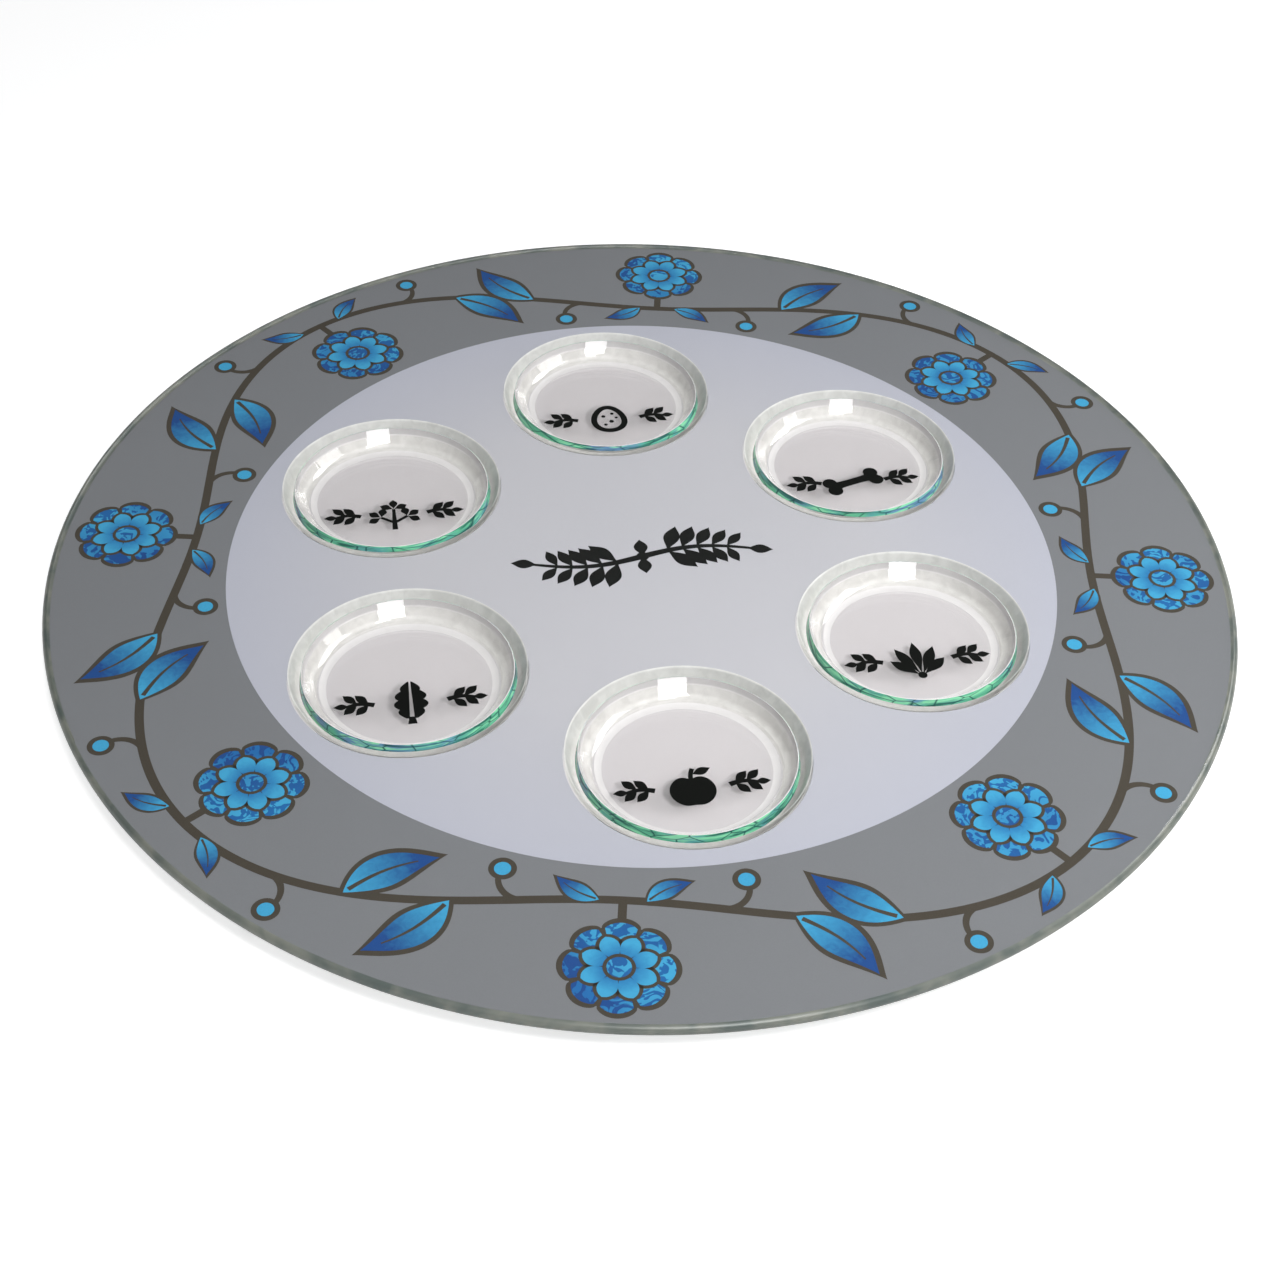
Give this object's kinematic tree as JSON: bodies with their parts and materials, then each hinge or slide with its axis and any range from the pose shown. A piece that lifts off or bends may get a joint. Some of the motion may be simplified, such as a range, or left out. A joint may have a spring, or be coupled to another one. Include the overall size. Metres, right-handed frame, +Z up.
{
  "type": "seder plate",
  "caption": "Round clear glass seder plate, printed underneath with a grey border and pale centre, with slumped wells that each hold a small loose glass dish.",
  "frame": {"origin": "centre of the surface that the plate stands on, under the middle of the plate", "axes": "+Z up, square to the plate; +Y towards the well of the egg dish"},
  "size_m": [0.4, 0.4, 0.013],
  "materials": {
    "plate_glass": "polished",
    "dish_glass": "polished",
    "border_print": "printed",
    "centre_print": "printed"
  },
  "bodies": {
    "plate": {"glass_plate": "plate_glass", "border_print": "border_print", "centre_print": "centre_print"},
    "egg_dish": {"egg_dish": "dish_glass"},
    "shank_bone_dish": {"shank_bone_dish": "dish_glass"},
    "bitter_herb_dish": {"bitter_herb_dish": "dish_glass"},
    "fruit_paste_dish": {"fruit_paste_dish": "dish_glass"},
    "lettuce_dish": {"lettuce_dish": "dish_glass"},
    "green_vegetable_dish": {"green_vegetable_dish": "dish_glass"}
  },
  "joints": [
    {"name": "egg_dish_lift", "type": "slide", "parent": "plate", "child": "egg_dish", "axis": [0, 0, 1], "range_m": [0, 0.03]},
    {"name": "shank_bone_dish_lift", "type": "slide", "parent": "plate", "child": "shank_bone_dish", "axis": [0, 0, 1], "range_m": [0, 0.03]},
    {"name": "bitter_herb_dish_lift", "type": "slide", "parent": "plate", "child": "bitter_herb_dish", "axis": [0, 0, 1], "range_m": [0, 0.03]},
    {"name": "fruit_paste_dish_lift", "type": "slide", "parent": "plate", "child": "fruit_paste_dish", "axis": [0, 0, 1], "range_m": [0, 0.03]},
    {"name": "lettuce_dish_lift", "type": "slide", "parent": "plate", "child": "lettuce_dish", "axis": [0, 0, 1], "range_m": [0, 0.03]},
    {"name": "green_vegetable_dish_lift", "type": "slide", "parent": "plate", "child": "green_vegetable_dish", "axis": [0, 0, 1], "range_m": [0, 0.03]}
  ]
}
